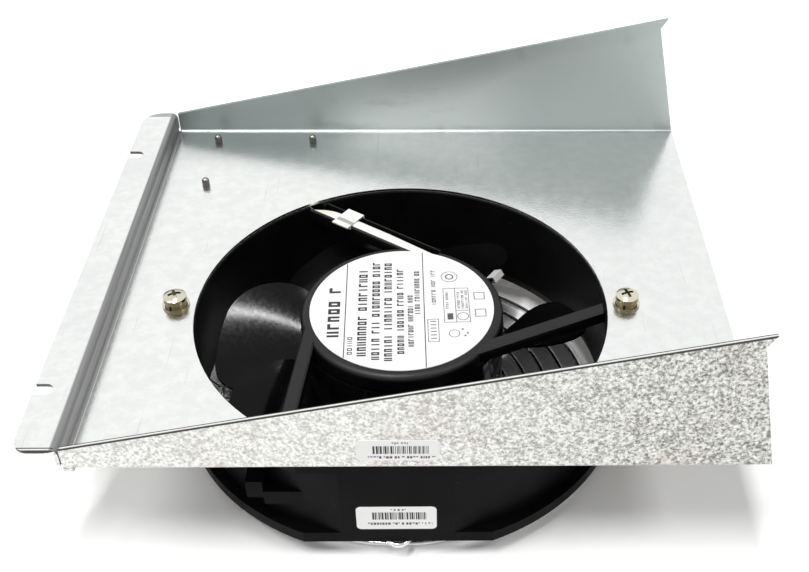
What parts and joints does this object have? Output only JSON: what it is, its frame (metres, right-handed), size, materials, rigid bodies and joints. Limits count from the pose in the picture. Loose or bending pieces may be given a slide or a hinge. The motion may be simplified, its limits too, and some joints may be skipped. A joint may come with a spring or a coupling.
{
  "type": "cooling fan",
  "caption": "Round axial cooling fan with a bladed impeller, hung under a sheet-metal tray bracket with tapered side walls and a slotted mounting flange; wire finger guard on the intake.",
  "frame": {"origin": "on the fan's axis, at the underside of the bracket's plate, where the fan frame's top face meets it", "axes": "+Z along the fan's axis, out of the tray side; +X from the slotted flange to the open end of the tray; +Y to the tray's back wall"},
  "size_m": [0.232, 0.1982, 0.1004],
  "materials": {
    "galvanised": "satin",
    "zinc": "satin",
    "paper": "matte",
    "label": "satin",
    "cast_black": "satin",
    "blade": "satin",
    "rotor_black": "satin",
    "sleeve": "matte",
    "clip": "glossy",
    "yellow_zinc": "satin",
    "guard": "glossy",
    "steel": "polished",
    "lamination": "satin",
    "insulator": "matte",
    "copper": "glossy",
    "brass_tube": "satin"
  },
  "bodies": {
    "housing": {"mounting_bracket": "galvanised", "clinch_studs": "zinc", "bracket_sticker": "paper", "fan_frame": "cast_black", "motor_label": "label", "frame_sticker": "paper", "lead_sleeve": "sleeve", "sleeve_clip": "clip", "lead_wires": "sleeve", "lead_cord": "sleeve", "lead_coil": "sleeve", "lead_plug": "clip", "mounting_screws": "yellow_zinc", "spring_washers": "yellow_zinc", "flat_washers": "yellow_zinc", "mounting_nuts": "yellow_zinc", "guard_rings": "guard", "guard_legs": "guard", "bearing_tube": "brass_tube", "bearing_outer_rings": "steel", "bearing_balls": "steel", "preload_spring": "steel", "stator_core": "lamination", "slot_insulators": "insulator", "stator_windings": "copper", "thermal_protector": "insulator"},
    "rotor": {"bearing_inner_rings": "steel", "shaft": "steel", "retaining_ring": "steel", "thrust_spacer": "brass_tube", "rotor_cup": "rotor_black", "rotor_core": "lamination", "impeller_band": "blade", "blade_1": "blade", "blade_2": "blade", "blade_3": "blade", "blade_4": "blade", "blade_5": "blade", "blade_6": "blade", "blade_7": "blade", "balance_clip": "zinc"}
  },
  "joints": [
    {"name": "impeller_spin", "type": "hinge", "parent": "housing", "child": "rotor", "pos_m": [0, 0, -0.02], "axis": [0, 0, 1], "continuous": true}
  ]
}
